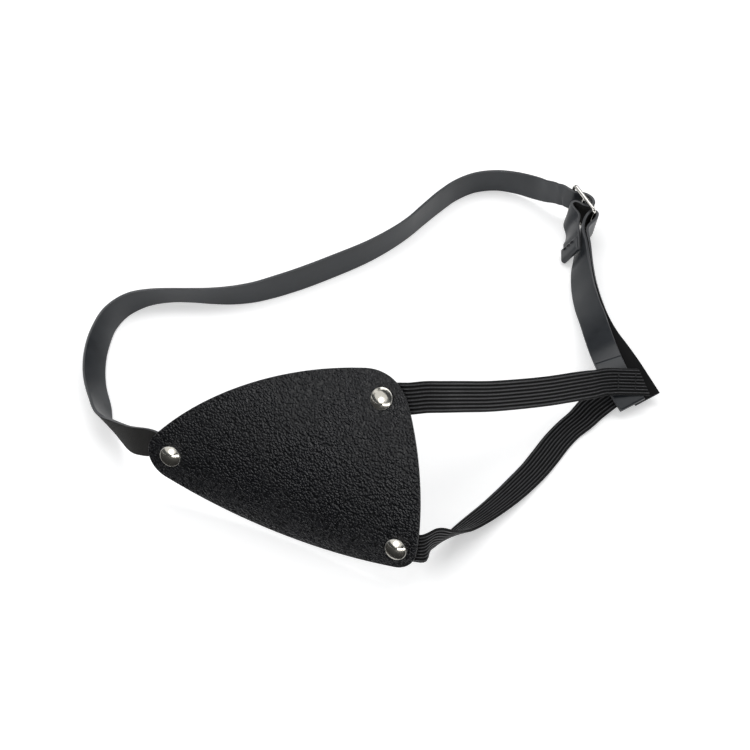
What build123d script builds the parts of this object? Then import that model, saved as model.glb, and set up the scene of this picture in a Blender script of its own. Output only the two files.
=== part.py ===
from build123d import *
import os
from math import asin, cos, pi, radians, sin, sqrt

# Eye patch: a curved leather panel, a leather strap with a three-bar slider, and two elastics.
# The loop lies on a table with its open middle upwards.  Millimetres, +Z up, origin on the
# table under the middle of the whole object.  X runs to the wearer-side joint, Y away from
# the panel.

# ---- driving dimensions -------------------------------------------------------------------
strap_width = 10.0
strap_thick = 1.2
elastic_width = 10.0
elastic_thick = 1.2
thread_radius = 0.22

panel_thick = 1.2
panel_bend_radius = 105.0          # the panel is one sheet, rolled to this radius
panel_ruling_turn = 28.0           # how far the roll's straight lines turn towards -Y, degrees
panel_ruling_drop = 4.0            # and how far they fall towards +X
panel_mid_lean = 25.0              # the middle of the panel leans back this far
panel_centre = Vector(-26.7, -79.6, 33.8)

# corners of the panel in its own plane: centre and radius
left_corner = (Vector(-40.8, -21.8), 8.8)
lower_corner = (Vector(40.5, -18.0), 8.2)
upper_corner = (Vector(19.6, 17.5), 15.4)
bottom_edge_radius = 200.0
side_edge_radius = 85.0
top_edge_radius = 120.0

rivet_places = {"left": (-40.8, -21.5), "upper": (23.4, 25.5), "lower": (42.0, -18.9)}
rivet_cap_radius = 3.65
rivet_cap_height = 1.8
rivet_back_radius = 3.6
rivet_back_height = 1.5
rivet_post_radius = 1.6
swivel_clearance = 0.08            # radial, between a strap's hole and the rivet post
strap_gap = 0.45                   # between the panel's back and the strap behind it
tab_radius = 7.5                   # a strap end turns with the rivet up to this radius
split_gap = 0.4

slider_centre = Vector(78.8, 77.0, 8.9)
slider_turn = -60.0                # the slider's long direction, degrees from +X
slider_drop = 14.0                 # and how far that direction falls
slider_length = 15.2
slider_height = 13.8
slider_thick = 1.6
slider_rail = 1.4
bar_offset = 6.9                   # side bars, from the centre bar
bar_radius = 0.7
loop_radius = 1.55                 # middle of the leather round the side bar
object_middle = Vector(-2.6, -3.1, -0.06)

# ---- helpers ------------------------------------------------------------------------------


def heading(turn, drop):
    """Unit vector turned from +X about +Z, falling by drop degrees."""
    flat = cos(radians(drop))
    return Vector(flat * cos(radians(turn)), flat * sin(radians(turn)), -sin(radians(drop)))


def upright(along):
    """The most upright direction square to a vector."""
    return (Vector(0, 0, 1) - along * along.Z).normalized()


def lean_direction(along, lean):
    """Width direction of a strap: 90 stands upright, 0 lies flat towards its right-hand side."""
    right = Vector(along.Y, -along.X, 0).normalized()
    rise = right.cross(along).normalized()
    return right * cos(radians(lean)) + rise * sin(radians(lean))


def tangents(points):
    """Direction of travel at each point of a route."""
    last = len(points) - 1
    return [(points[min(i + 1, last)] - points[max(i - 1, 0)]).normalized() for i in range(last + 1)]


def between(values, span, part):
    """Smooth value part of the way along one span of a list of vectors."""
    last = len(values) - 1
    before, start, end, after = (values[min(max(span + k, 0), last)] for k in (-1, 0, 1, 2))
    rate_in = (end - before) * 0.5
    rate_out = (after - start) * 0.5
    square = part * part
    cube = square * part
    return (
        start * (2 * cube - 3 * square + 1) + rate_in * (cube - 2 * square + part)
        + end * (3 * square - 2 * cube) + rate_out * (cube - square)
    )


def finer(values, steps):
    """The same smooth run of vectors with each span divided into steps."""
    places = [(span, step / steps) for span in range(len(values) - 1) for step in range(steps)]
    return [between(values, span, part) for span, part in places] + [values[-1]]


def sections(points, widths):
    """Section planes: x along the strap's width, z along the route."""
    planes = []
    for point, along, width in zip(points, tangents(points), widths):
        square = (width - along * width.dot(along)).normalized()
        planes.append(Plane(origin=point, x_dir=square, z_dir=along))
    return planes


def leaning_route(stations):
    """Route points and width directions from stations of x, y, z and lean."""
    points = [Vector(x, y, z) for x, y, z, lean in stations]
    widths = [lean_direction(t, s[3]) for t, s in zip(tangents(points), stations)]
    return points, widths


def standing(stations, width):
    """Stations given at the strap's lower edge become stations at its middle."""
    edges = [Vector(x, y, z) for x, y, z, lean in stations]
    leans = [lean_direction(t, s[3]) for t, s in zip(tangents(edges), stations)]
    middles = [edge + up * (width / 2) for edge, up in zip(edges, leans)]
    return [(m.X, m.Y, m.Z, s[3]) for m, s in zip(middles, stations)]


def shared_arc(first, second, radius):
    """Arc of the given radius that runs round the outside of two corner circles."""
    (c1, r1), (c2, r2) = first, second
    d1 = radius - r1
    d2 = radius - r2
    span = (c2 - c1).length
    run = (c2 - c1).normalized()
    left = Vector(-run.Y, run.X)
    ahead = (d1 * d1 - d2 * d2 + span * span) / (2 * span)
    middle = c1 + run * ahead + left * sqrt(d1 * d1 - ahead * ahead)
    start = middle + (c1 - middle).normalized() * radius
    end = middle + (c2 - middle).normalized() * radius
    centre_way = ((c1 + c2) * 0.5 - middle).normalized()
    return start, middle + centre_way * radius, end


def corner_point(corner, before, after):
    """Point of a corner circle midway between the arcs that meet it."""
    centre, radius = corner
    return centre + ((before - centre) + (after - centre)).normalized() * radius


# ---- the panel ----------------------------------------------------------------------------
ruling = heading(-panel_ruling_turn, panel_ruling_drop)
level_front = Vector(-sin(radians(panel_ruling_turn)), -cos(radians(panel_ruling_turn)), 0)
panel_rise = level_front.cross(ruling).normalized()
if panel_rise.Z < 0:
    panel_rise = panel_rise * -1
panel_normal = level_front * cos(radians(panel_mid_lean)) + panel_rise * sin(radians(panel_mid_lean))
panel_plane = Plane(origin=panel_centre, x_dir=ruling, z_dir=panel_normal)
roll_axis = panel_centre - panel_normal * panel_bend_radius


def panel_surface(across, up, depth=0.0):
    """Plane on the panel's front, sunk by depth, with z out of the panel and x along its lines."""
    turn = asin(up / panel_bend_radius)
    out = panel_normal * cos(turn) + panel_plane.y_dir * sin(turn)
    origin = roll_axis + ruling * across + out * (panel_bend_radius - depth)
    return Plane(origin=origin, x_dir=ruling, z_dir=out)


rivet_planes = {name: panel_surface(*place) for name, place in rivet_places.items()}
bottom_arc = shared_arc(left_corner, lower_corner, bottom_edge_radius)
side_arc = shared_arc(lower_corner, upper_corner, side_edge_radius)
top_arc = shared_arc(upper_corner, left_corner, top_edge_radius)

with BuildPart() as patch_panel:
    with BuildSketch(Plane(origin=roll_axis - ruling * 60, x_dir=panel_normal, z_dir=ruling)):
        Circle(panel_bend_radius)
        Circle(panel_bend_radius - panel_thick, mode=Mode.SUBTRACT)
    extrude(amount=120)
    with BuildSketch(panel_plane.offset(-15)) as outline:
        with BuildLine():
            ThreePointArc(*bottom_arc)
            ThreePointArc(bottom_arc[2], corner_point(lower_corner, bottom_arc[2], side_arc[0]), side_arc[0])
            ThreePointArc(*side_arc)
            ThreePointArc(side_arc[2], corner_point(upper_corner, side_arc[2], top_arc[0]), top_arc[0])
            ThreePointArc(*top_arc)
            ThreePointArc(top_arc[2], corner_point(left_corner, top_arc[2], bottom_arc[0]), bottom_arc[0])
        make_face()
    extrude(amount=25, mode=Mode.INTERSECT)
    for rivet_plane in rivet_planes.values():
        with BuildSketch(rivet_plane.offset(-5)):
            Circle(rivet_post_radius + swivel_clearance)
        extrude(amount=10, mode=Mode.SUBTRACT)

# ---- rivets: a domed cap with its post in front, a lower cap behind --------------------------
strap_front = panel_thick + strap_gap
strap_middle = strap_front + strap_thick / 2
back_seat = strap_front + strap_thick + 0.15


def cap(seat, radius, height):
    """Low cap with a rounded shoulder that stands on a seat plane."""
    with BuildPart() as piece:
        with BuildSketch(seat):
            Circle(radius)
        extrude(amount=height)
        shoulder = piece.edges().group_by(Axis(seat.origin, seat.z_dir))[-1]
        fillet(shoulder, height - 0.3)
    return piece.part


def front_rivet(plane):
    """Cap and post in one piece."""
    seat = Plane(origin=plane.origin + plane.z_dir * 0.12, x_dir=plane.x_dir, z_dir=plane.z_dir)
    with BuildPart() as piece:
        add(cap(seat, rivet_cap_radius, rivet_cap_height))
        with BuildSketch(seat.offset(0.3)):
            Circle(rivet_post_radius)
        extrude(amount=-(back_seat + 0.42 + 0.7))
    return piece.part


def back_rivet(plane):
    """Cap that the post is pressed into."""
    seat = Plane(origin=plane.origin - plane.z_dir * back_seat, x_dir=plane.x_dir, z_dir=-plane.z_dir)
    with BuildPart() as piece:
        add(cap(seat, rivet_back_radius, rivet_back_height))
        with BuildSketch(seat):
            Circle(rivet_post_radius + 0.02)
        extrude(amount=0.75, mode=Mode.SUBTRACT)
    return piece.part


# ---- strap ends that turn on the rivets ------------------------------------------------------


def strap_end(plane, turn, width, thick):
    """Rounded end of a strap round its rivet; turn is its direction in the panel's plane."""
    along = plane.x_dir * cos(radians(turn)) + plane.y_dir * sin(radians(turn))
    flat = Plane(origin=plane.origin - plane.z_dir * strap_front, x_dir=along, z_dir=-plane.z_dir)
    with BuildPart() as piece:
        with BuildSketch(flat):
            Circle(width / 2)
            with Locations((tab_radius / 2, 0)):
                Rectangle(tab_radius, width)
            Circle(tab_radius, mode=Mode.INTERSECT)
            Circle(rivet_post_radius + swivel_clearance, mode=Mode.SUBTRACT)
        extrude(amount=thick)
    return piece.part


def clear_of_end(plane):
    """Round space in which a strap's end turns."""
    with BuildPart() as space:
        with BuildSketch(Plane(origin=plane.origin - plane.z_dir * 8, x_dir=plane.x_dir, z_dir=plane.z_dir)):
            Circle(tab_radius + split_gap)
        extrude(amount=12)
    return space.part


def end_station(plane, turn, distance):
    """Point and width direction on a strap's middle, straight out from its rivet."""
    along = plane.x_dir * cos(radians(turn)) + plane.y_dir * sin(radians(turn))
    across = plane.y_dir * cos(radians(turn)) - plane.x_dir * sin(radians(turn))
    return plane.origin - plane.z_dir * strap_middle + along * distance, across


def ribbon(points, widths, width, thick, steps=2):
    """Flat strap along a smooth route."""
    with BuildPart() as piece:
        for plane in sections(finer(points, steps), finer(widths, steps)):
            with BuildSketch(plane):
                Rectangle(width, thick)
        loft(ruled=True)
    return piece.part


left_turn = 180.0
upper_turn = 21.0
lower_turn = 16.0

# left strap: first from the rivet to the table, then standing on its edge round the back.
# x, y, z of the middle and lean, then x, y, z of the lower edge and lean
left_descent = [
    (-77.6, -58.4, 15.4, 80), (-80.9, -55.4, 13.2, 84), (-84.1, -50.8, 10.4, 92), (-87.2, -45.8, 7.9, 102),
    (-90.2, -41.2, 5.9, 112),
]
left_round = [
    (-90.4, -36.4, 0.4, 120), (-92.4, -26.0, 0.5, 134), (-95.2, -15.5, 0.5, 135), (-96.6, -4.5, 0.5, 131),
    (-96.4, 6.5, 0.4, 123), (-94.7, 16.8, 0.2, 109), (-90.4, 25.0, 0.0, 90), (-84.0, 29.8, 0.2, 74),
    (-76.2, 31.8, 0.3, 67), (-68.4, 31.8, 0.3, 67), (-60.6, 31.0, 0.2, 72), (-52.8, 30.8, 0.1, 79),
    (-45.2, 32.0, 0.0, 85), (-37.8, 34.6, 0.0, 90), (-30.6, 38.0, 0.0, 92), (-16.1, 46.6, 0.0, 93),
    (-1.8, 56.8, 0.0, 90), (11.6, 70.2, 0.0, 87), (18.2, 78.8, 0.0, 89), (24.8, 87.2, 0.0, 91),
    (31.6, 94.8, 0.0, 89), (39.3, 99.9, 0.0, 86), (47.6, 100.9, 0.2, 86), (55.5, 97.8, 0.8, 91),
    (62.4, 92.6, 2.0, 95),
]

# ---- slider frame: x along the strap, y up the bars, z towards the middle of the loop --------
slider_along = heading(slider_turn, slider_drop)
slider_up = upright(slider_along)
slider_in = slider_along.cross(slider_up)


def in_slider(along, inward, up=0.0):
    """Point given in the slider's own frame."""
    return slider_centre + slider_along * along + slider_in * inward + slider_up * up


left_approach = [Vector(66.9, 88.1, 9.1), Vector(69.2, 86.0, 10.0), Vector(71.1, 84.3, 10.45)]

left_points, left_widths = leaning_route(left_descent + standing(left_round, strap_width))
left_start = [end_station(rivet_planes["left"], left_turn, d) for d in (5.0, 8.5)]
left_points = [p for p, w in left_start] + left_points + left_approach
left_widths = [-w for p, w in left_start] + left_widths + [slider_up] * 3
strap_piece = ribbon(left_points, left_widths, strap_width, strap_thick)
left_space = clear_of_end(rivet_planes["left"])
with BuildPart() as left_strap:
    add(strap_piece)
    add(left_space, mode=Mode.SUBTRACT)

# the strap's weave: under the near side bar, out over the centre bar, in past the far one
weave_route = [
    (-9.4, 2.6, -0.5), (-7.6, 2.0, -0.1), (-5.6, 1.0, 0.0), (-3.9, -0.5, 0.0), (-2.4, -1.9, 0.0),
    (0.0, -2.7, 0.0), (2.0, -2.1, 0.0), (2.7, -0.6, 0.0), (1.8, 1.0, 0.0), (0.0, 2.0, 0.0),
    (-1.3, 3.4, 0.0), (-0.9, 5.2, 0.0), (0.8, 6.6, 0.0), (3.8, 7.5, 0.0),
]
weave_points = [in_slider(*place) for place in weave_route]
tail_stations = [(74.5, 66.4, 7.2, 106), (74.4, 62.7, 6.6, 114)]
tail_points, tail_widths = leaning_route(tail_stations)
weave_points = weave_points + tail_points
weave_widths = [slider_up] * len(weave_route) + tail_widths

# stop fold: the strap's end turned back on itself and sewn
tail_way = Vector(-0.03, -0.97, -0.22).normalized()
fold_start = Vector(74.3, 61.8, 6.45)
fold_length = 8.6
fold_flap = 5.2
fold_gap = 0.1


with BuildPart() as slider_frame:
    with BuildSketch(Plane(origin=slider_centre, x_dir=slider_along, z_dir=slider_in)):
        RectangleRounded(slider_length, slider_height, 1.3)
        Rectangle(2 * slider_length, slider_height - 2 * slider_rail, mode=Mode.SUBTRACT)
    extrude(amount=slider_thick / 2, both=True)
    for bar in (-bar_offset, 0.0, bar_offset):
        foot = in_slider(bar, 0.0, 1.0 - slider_height / 2)
        with BuildSketch(Plane(origin=foot, x_dir=slider_along, z_dir=slider_up)):
            Circle(bar_radius)
        extrude(amount=slider_height - 2.0)

with BuildPart() as strap_weave:
    add(ribbon(weave_points, weave_widths, strap_width, strap_thick))

# ---- doubled strap from the slider's far bar to the joint --------------------------------------
# middle of the pair: x, y, z, lean, distance between the two layers' middles, sideways slip
loop_spine = [
    (78.9, 62.6, 6.9, 100, 3.0, 0.0), (77.8, 54.5, 6.1, 113, 1.6, 0.0), (76.8, 45.5, 5.6, 127, 1.35, 0.0),
    (76.7, 36.0, 5.0, 136, 1.35, 0.2), (77.4, 25.0, 5.2, 145, 1.35, 0.5), (78.3, 13.0, 6.6, 152, 1.5, 1.4),
    (79.6, 1.0, 8.8, 159, 1.9, 3.4), (81.4, -7.6, 9.9, 164, 2.5, 5.2), (84.4, -15.3, 8.9, 168, 3.1, 6.6),
    (87.9, -20.8, 6.1, 168, 3.0, 6.8), (91.4, -26.2, 3.2, 168, 3.0, 6.8),
]
far_bar = in_slider(bar_offset, 0.0)
spine_points = [Vector(*station[:3]) for station in loop_spine]
spine_ways = tangents([far_bar] + spine_points)[1:]
inner_route = []
outer_route = []
for point, along, station in zip(spine_points, spine_ways, loop_spine):
    across = lean_direction(along, station[3])
    inward = along.cross(across)
    half_gap = inward * (station[4] / 2)
    half_slip = across * (station[5] / 2)
    inner_route.append((point + half_gap - half_slip, across))
    outer_route.append((point - half_gap + half_slip, across))

leave_way = (spine_points[0] - far_bar).normalized()
leave_way = (leave_way - slider_up * leave_way.dot(slider_up)).normalized()
leave_in = leave_way.cross(slider_up)
turn_route = []
for step in range(7):
    angle = radians(30 * step)
    reach = leave_in * cos(angle) - leave_way * sin(angle)
    turn_route.append((far_bar + reach * loop_radius, slider_up))
loop_route = inner_route[::-1] + turn_route + outer_route

with BuildPart() as loop_strap:
    add(ribbon([p for p, w in loop_route], [w for p, w in loop_route], strap_width, strap_thick))


# ---- joint: the pair of layers, with the lower elastic between them and the upper one on top ----
joint_way = (spine_points[-1] - spine_points[-2]).normalized()
joint_across = lean_direction(joint_way, loop_spine[-1][3])
joint_out = joint_way.cross(joint_across)
joint_across = joint_out.cross(joint_way)
joint_corner = spine_points[-1]


def at_joint(back, sideways, out):
    """Point measured back from the joint's end, sideways across it and out of its upper face."""
    return joint_corner - joint_way * back + joint_across * sideways + joint_out * out


# ---- elastics ------------------------------------------------------------------------------
upper_flight = [
    (15.0, -77.2, 52.6, 127), (20.6, -73.6, 49.4, 124), (27.4, -67.2, 43.6, 122), (36.0, -59.9, 37.0, 121),
    (45.0, -52.3, 30.8, 121), (58.0, -41.5, 22.6, 122), (68.2, -33.0, 16.8, 128), (73.4, -28.9, 14.0, 137),
    (77.2, -25.6, 11.8, 147),
]
lower_flight = [
    (17.4, -101.4, 13.4, 88), (21.0, -97.6, 10.5, 62), (24.1, -93.8, 8.0, 44), (26.6, -90.3, 6.0, 33),
    (29.6, -86.2, 4.3, 25),
]
lower_rest = [
    (33.0, -81.8, 2.9, 20), (38.2, -75.9, 2.0, 15), (43.3, -69.9, 1.5, 9), (48.2, -63.6, 1.1, 4),
    (53.0, -57.0, 0.8, 2), (57.5, -49.8, 0.65, 0), (61.8, -42.8, 0.65, 0), (66.2, -37.2, 0.9, -2),
    (70.4, -33.4, 1.8, -8),
]


upper_lap = [at_joint(11.0, -6.4, 3.45), at_joint(8.6, -2.0, 3.05), at_joint(5.6, 3.4, 2.95)]
lower_lap = [at_joint(6.0, -16.0, 0.0), at_joint(7.3, -8.5, 0.0), at_joint(8.6, -1.3, 0.0)]
upper_lap_across = joint_across * 0.56 - joint_way * 0.83
lower_lap_across = joint_across * 0.18 + joint_way * 0.98


def elastic(stations, lap, lap_across, plane, turn):
    """Elastic from its rivet to the joint."""
    points, widths = leaning_route(stations)
    flat_point, flat_across = end_station(plane, turn, 5.0)
    free_point = end_station(plane, turn, 7.6)[0] - plane.z_dir * 0.4
    points = [flat_point, free_point] + points + lap
    widths = [flat_across, flat_across] + widths + [lap_across] * len(lap)
    with BuildPart() as piece:
        add(ribbon(points, widths, elastic_width, elastic_thick))
        add(clear_of_end(plane), mode=Mode.SUBTRACT)
    return piece.part


with BuildPart() as upper_elastic:
    add(elastic(upper_flight, upper_lap, upper_lap_across, rivet_planes["upper"], upper_turn))

with BuildPart() as lower_elastic:
    add(elastic(lower_flight + lower_rest, lower_lap, lower_lap_across, rivet_planes["lower"], lower_turn))

# ---- stop fold at the free end --------------------------------------------------------------
fold_across = lean_direction(tail_way, 118)
fold_inward = tail_way.cross(fold_across)
with BuildPart() as tail_end:
    with BuildSketch(Plane(origin=fold_start, x_dir=fold_across, z_dir=tail_way)):
        Rectangle(strap_width, strap_thick)
    extrude(amount=fold_length)
    flap_start = fold_start + tail_way * (fold_length - fold_flap) + fold_inward * (strap_thick + fold_gap)
    with BuildSketch(Plane(origin=flap_start, x_dir=fold_across, z_dir=tail_way)):
        Rectangle(strap_width, strap_thick)
    extrude(amount=fold_flap)
    fold_edge = fold_start + tail_way * (fold_length - 0.6) + fold_inward * (strap_thick + fold_gap) / 2
    with BuildSketch(Plane(origin=fold_edge, x_dir=fold_across, z_dir=tail_way)):
        Rectangle(strap_width, 2 * strap_thick + fold_gap)
    extrude(amount=0.6)


# ---- thread: short stitches lying on the faces that they hold ------------------------------------
stitch_length = 1.5
stitch_gap = 0.7


def stitch_row(start, end, out):
    """Stitches in line from start to end, just off the surface on its out side."""
    way = (end - start).normalized()
    pitch = stitch_length + stitch_gap
    count = int(((end - start).length + stitch_gap) / pitch)
    lift = out * (thread_radius + 0.03)
    with BuildPart() as row:
        for number in range(count):
            with BuildSketch(Plane(origin=start + way * pitch * number + lift, x_dir=out, z_dir=way)):
                Circle(thread_radius)
            extrude(amount=stitch_length)
    return row.part


with BuildPart() as joint_stitching:
    top = 3.05 + elastic_thick / 2
    for back, sideways in ((9.6, -3.8), (6.6, 1.6)):
        middle = at_joint(back, sideways, top)
        add(stitch_row(middle - upper_lap_across * 4.0, middle + upper_lap_across * 4.0, joint_out))

with BuildPart() as tail_stitching:
    face = fold_inward * (1.5 * strap_thick + fold_gap)
    middle = fold_start + tail_way * (fold_length - fold_flap + 1.2) + face
    add(stitch_row(middle - fold_across * 4.0, middle + fold_across * 4.0, fold_inward))

# ---- finished pieces --------------------------------------------------------------------------
turns = {"left": left_turn, "upper": upper_turn, "lower": lower_turn}
tabs = {
    "left_strap_end": ("left", strap_width, strap_thick),
    "upper_elastic_end": ("upper", elastic_width, elastic_thick),
    "lower_elastic_end": ("lower", elastic_width, elastic_thick),
}
pieces = {
    "patch_panel": patch_panel.part,
    "left_strap": left_strap.part,
    "strap_weave": strap_weave.part,
    "slider_frame": slider_frame.part,
    "loop_strap": loop_strap.part,
    "upper_elastic": upper_elastic.part,
    "lower_elastic": lower_elastic.part,
    "tail_end": tail_end.part,
    "joint_stitching": joint_stitching.part,
    "tail_stitching": tail_stitching.part,
}
for place, plane in rivet_planes.items():
    pieces["rivet_cap_" + place] = front_rivet(plane)
    pieces["rivet_back_" + place] = back_rivet(plane)
for name, (place, width, thick) in tabs.items():
    pieces[name] = strap_end(rivet_planes[place], turns[place], width, thick)

# the origin goes on the table under the middle of the whole object
os.makedirs("parts", exist_ok=True)
for name, piece in pieces.items():
    placed = piece.moved(Location(-object_middle))
    placed.label = name
    export_step(placed, "parts/" + name + ".step")
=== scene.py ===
import bpy
from math import asin, atan2, ceil, cos, pi, radians, sin, sqrt
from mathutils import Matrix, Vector


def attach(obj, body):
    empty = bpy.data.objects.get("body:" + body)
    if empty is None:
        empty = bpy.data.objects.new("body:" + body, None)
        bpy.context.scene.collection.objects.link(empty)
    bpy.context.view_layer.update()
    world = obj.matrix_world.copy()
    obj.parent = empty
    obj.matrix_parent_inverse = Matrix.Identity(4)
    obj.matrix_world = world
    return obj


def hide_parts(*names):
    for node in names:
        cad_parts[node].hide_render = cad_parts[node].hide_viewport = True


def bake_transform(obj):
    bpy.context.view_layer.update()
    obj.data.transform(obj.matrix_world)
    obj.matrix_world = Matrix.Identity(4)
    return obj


# Eye patch. Shapes are worked out in millimetres in the same frame as the CAD model, before its
# origin was moved under the middle of the object, and placed in metres by place().

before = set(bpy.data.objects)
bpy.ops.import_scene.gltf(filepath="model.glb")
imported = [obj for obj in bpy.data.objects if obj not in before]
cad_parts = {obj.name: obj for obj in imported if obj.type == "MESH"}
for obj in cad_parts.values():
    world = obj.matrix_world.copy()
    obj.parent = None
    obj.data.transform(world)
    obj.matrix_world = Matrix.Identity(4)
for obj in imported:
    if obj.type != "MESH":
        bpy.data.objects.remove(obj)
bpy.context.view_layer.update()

object_middle = Vector((-2.6, -3.1, -0.06))
strap_width = 10.0
strap_thick = 1.15
strap_corner = 0.28
elastic_width = 10.0
elastic_thick = 1.1
elastic_ribs = 8
elastic_selvedge = 0.3
tab_radius = 5.0
stitch_row_half = 4.2

panel_thick = 1.2
panel_bend_radius = 105.0
panel_ruling_turn = 28.0
panel_ruling_drop = 4.0
panel_mid_lean = 25.0
panel_centre = Vector((-26.7, -79.6, 33.8))
left_corner = (Vector((-40.8, -21.8)), 8.8)
lower_corner = (Vector((40.5, -18.0)), 8.2)
upper_corner = (Vector((19.6, 17.5)), 15.4)
bottom_edge_radius = 200.0
side_edge_radius = 85.0
top_edge_radius = 120.0
rivet_places = {"left": (-40.8, -21.5), "upper": (23.4, 25.5), "lower": (42.0, -18.9)}
# depths below the panel's front, at a rivet
strap_front = panel_thick + 0.45
strap_middle = strap_front + 0.6
back_seat = strap_front + 1.35
# turn of each strap as it leaves its rivet, and how far along it the points of its end are
left_turn = 180.0
upper_turn = 21.0
lower_turn = 16.0
tab_distances = [-5.0, -4.6, -3.8, -2.6, -1.0, 1.5, 5.0, 8.5]
cap_sides = 64

slider_centre = Vector((78.8, 77.0, 8.9))
slider_turn = -60.0
slider_drop = 14.0
bar_offset = 6.9
ring_half_high = 6.6
ring_corner = 1.5
ring_wire = 0.72
bar_wire = 0.68
loop_radius = 1.55


def place(point):
    """Point in the shared frame, in metres."""
    return (point - object_middle) * 0.001


# ---- routes, as in the CAD model --------------------------------------------------------------


def heading(turn, drop):
    """Direction turned from x on the floor and dropping below it, in degrees."""
    flat = cos(radians(drop))
    return Vector((flat * cos(radians(turn)), flat * sin(radians(turn)), -sin(radians(drop))))


def upright(along):
    """Upward direction square to a run."""
    return (Vector((0, 0, 1)) - along * along.z).normalized()


def lean_direction(along, lean):
    """Width direction: 90 stands upright, 0 lies flat towards its right-hand side."""
    right = Vector((along.y, -along.x, 0)).normalized()
    rise = right.cross(along).normalized()
    return right * cos(radians(lean)) + rise * sin(radians(lean))


def tangents(points):
    last = len(points) - 1
    return [(points[min(i + 1, last)] - points[max(i - 1, 0)]).normalized() for i in range(last + 1)]


def between(values, gaps, span, part):
    """Smooth value part of the way along a span; gaps are the distances between the stations."""
    last = len(values) - 1
    start, end = values[span], values[span + 1]
    slope = (end - start) / gaps[span]
    rate_in = rate_out = slope
    if span > 0:
        before = (start - values[span - 1]) / gaps[span - 1]
        rate_in = (slope * gaps[span - 1] + before * gaps[span]) / (gaps[span - 1] + gaps[span])
    if span + 1 < last:
        after = (values[span + 2] - end) / gaps[span + 1]
        rate_out = (slope * gaps[span + 1] + after * gaps[span]) / (gaps[span + 1] + gaps[span])
    rate_in = rate_in * gaps[span]
    rate_out = rate_out * gaps[span]
    square = part * part
    cube = square * part
    return (
        start * (2 * cube - 3 * square + 1) + rate_in * (cube - 2 * square + part)
        + end * (3 * square - 2 * cube) + rate_out * (cube - square)
    )


def leaning_route(stations):
    """Points and width directions of stations x, y, z, lean."""
    points = [Vector(s[:3]) for s in stations]
    widths = [lean_direction(t, s[3]) for t, s in zip(tangents(points), stations)]
    return points, widths


def standing(stations, width):
    """Stations of the strap's lower edge, moved to its middle."""
    edges = [Vector(s[:3]) for s in stations]
    leans = [lean_direction(t, s[3]) for t, s in zip(tangents(edges), stations)]
    middles = [edge + up * (width / 2) for edge, up in zip(edges, leans)]
    return [(m.x, m.y, m.z, s[3]) for m, s in zip(middles, stations)]


def even_steps(points, widths, pitch):
    """Smooth run through the points, sampled about every pitch millimetres."""
    fine_points = []
    fine_widths = []
    gaps = [(b - a).length for a, b in zip(points, points[1:])]
    for span in range(len(points) - 1):
        steps = max(2, ceil(gaps[span] / pitch))
        for step in range(steps):
            fine_points.append(between(points, gaps, span, step / steps))
            fine_widths.append(between(widths, gaps, span, step / steps))
    return fine_points + [points[-1]], fine_widths + [widths[-1]]


# ---- the panel's surface ----------------------------------------------------------------------
ruling = heading(-panel_ruling_turn, panel_ruling_drop)
level_front = Vector((-sin(radians(panel_ruling_turn)), -cos(radians(panel_ruling_turn)), 0))
panel_rise = level_front.cross(ruling).normalized()
if panel_rise.z < 0:
    panel_rise = -panel_rise
panel_normal = level_front * cos(radians(panel_mid_lean)) + panel_rise * sin(radians(panel_mid_lean))
panel_up = panel_normal.cross(ruling)
roll_axis = panel_centre - panel_normal * panel_bend_radius


def panel_point(across, up, depth=0.0):
    """Point on the panel's front, sunk by depth, with its outward and upward directions."""
    turn = asin(up / panel_bend_radius)
    out = panel_normal * cos(turn) + panel_up * sin(turn)
    rise = panel_up * cos(turn) - panel_normal * sin(turn)
    return roll_axis + ruling * across + out * (panel_bend_radius - depth), out, rise


def end_station(place_name, turn, distance, depth=strap_middle):
    """Middle and width direction of a strap, a distance past its rivet."""
    point, out, rise = panel_point(*rivet_places[place_name], depth=depth)
    along = ruling * cos(radians(turn)) + rise * sin(radians(turn))
    across = rise * cos(radians(turn)) - ruling * sin(radians(turn))
    return point + along * distance, across


def shared_arc(first, second, radius):
    """Centre and end angles of the arc that runs round the outside of two corner circles."""
    (c1, r1), (c2, r2) = first, second
    d1 = radius - r1
    d2 = radius - r2
    run = (c2 - c1).normalized()
    left = Vector((-run.y, run.x))
    span = (c2 - c1).length
    ahead = (d1 * d1 - d2 * d2 + span * span) / (2 * span)
    middle = c1 + run * ahead + left * sqrt(d1 * d1 - ahead * ahead)
    start = (c1 - middle).normalized()
    end = (c2 - middle).normalized()
    return middle, radius, atan2(start.y, start.x), atan2(end.y, end.x)


def arc_points(centre, radius, first, last, count):
    while last < first:
        last += 2 * pi
    angles = [first + (last - first) * k / count for k in range(count)]
    return [centre + Vector((cos(a), sin(a))) * radius for a in angles]


def panel_outline():
    """Outline of the panel, counter-clockwise, in its own plane."""
    corners = [left_corner, lower_corner, upper_corner]
    arcs = [
        shared_arc(left_corner, lower_corner, bottom_edge_radius),
        shared_arc(lower_corner, upper_corner, side_edge_radius),
        shared_arc(upper_corner, left_corner, top_edge_radius),
    ]
    # points along each edge, and round the corner after it
    counts = [(110, 34), (70, 44), (110, 30)]
    outline = []
    for k in range(3):
        middle, radius, first, last = arcs[k]
        outline += arc_points(middle, radius, first, last, counts[k][0])
        corner = corners[(k + 1) % 3]
        outline += arc_points(corner[0], corner[1], last, arcs[(k + 1) % 3][2], counts[k][1])
    return outline


# ---- mesh helpers -----------------------------------------------------------------------------


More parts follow.
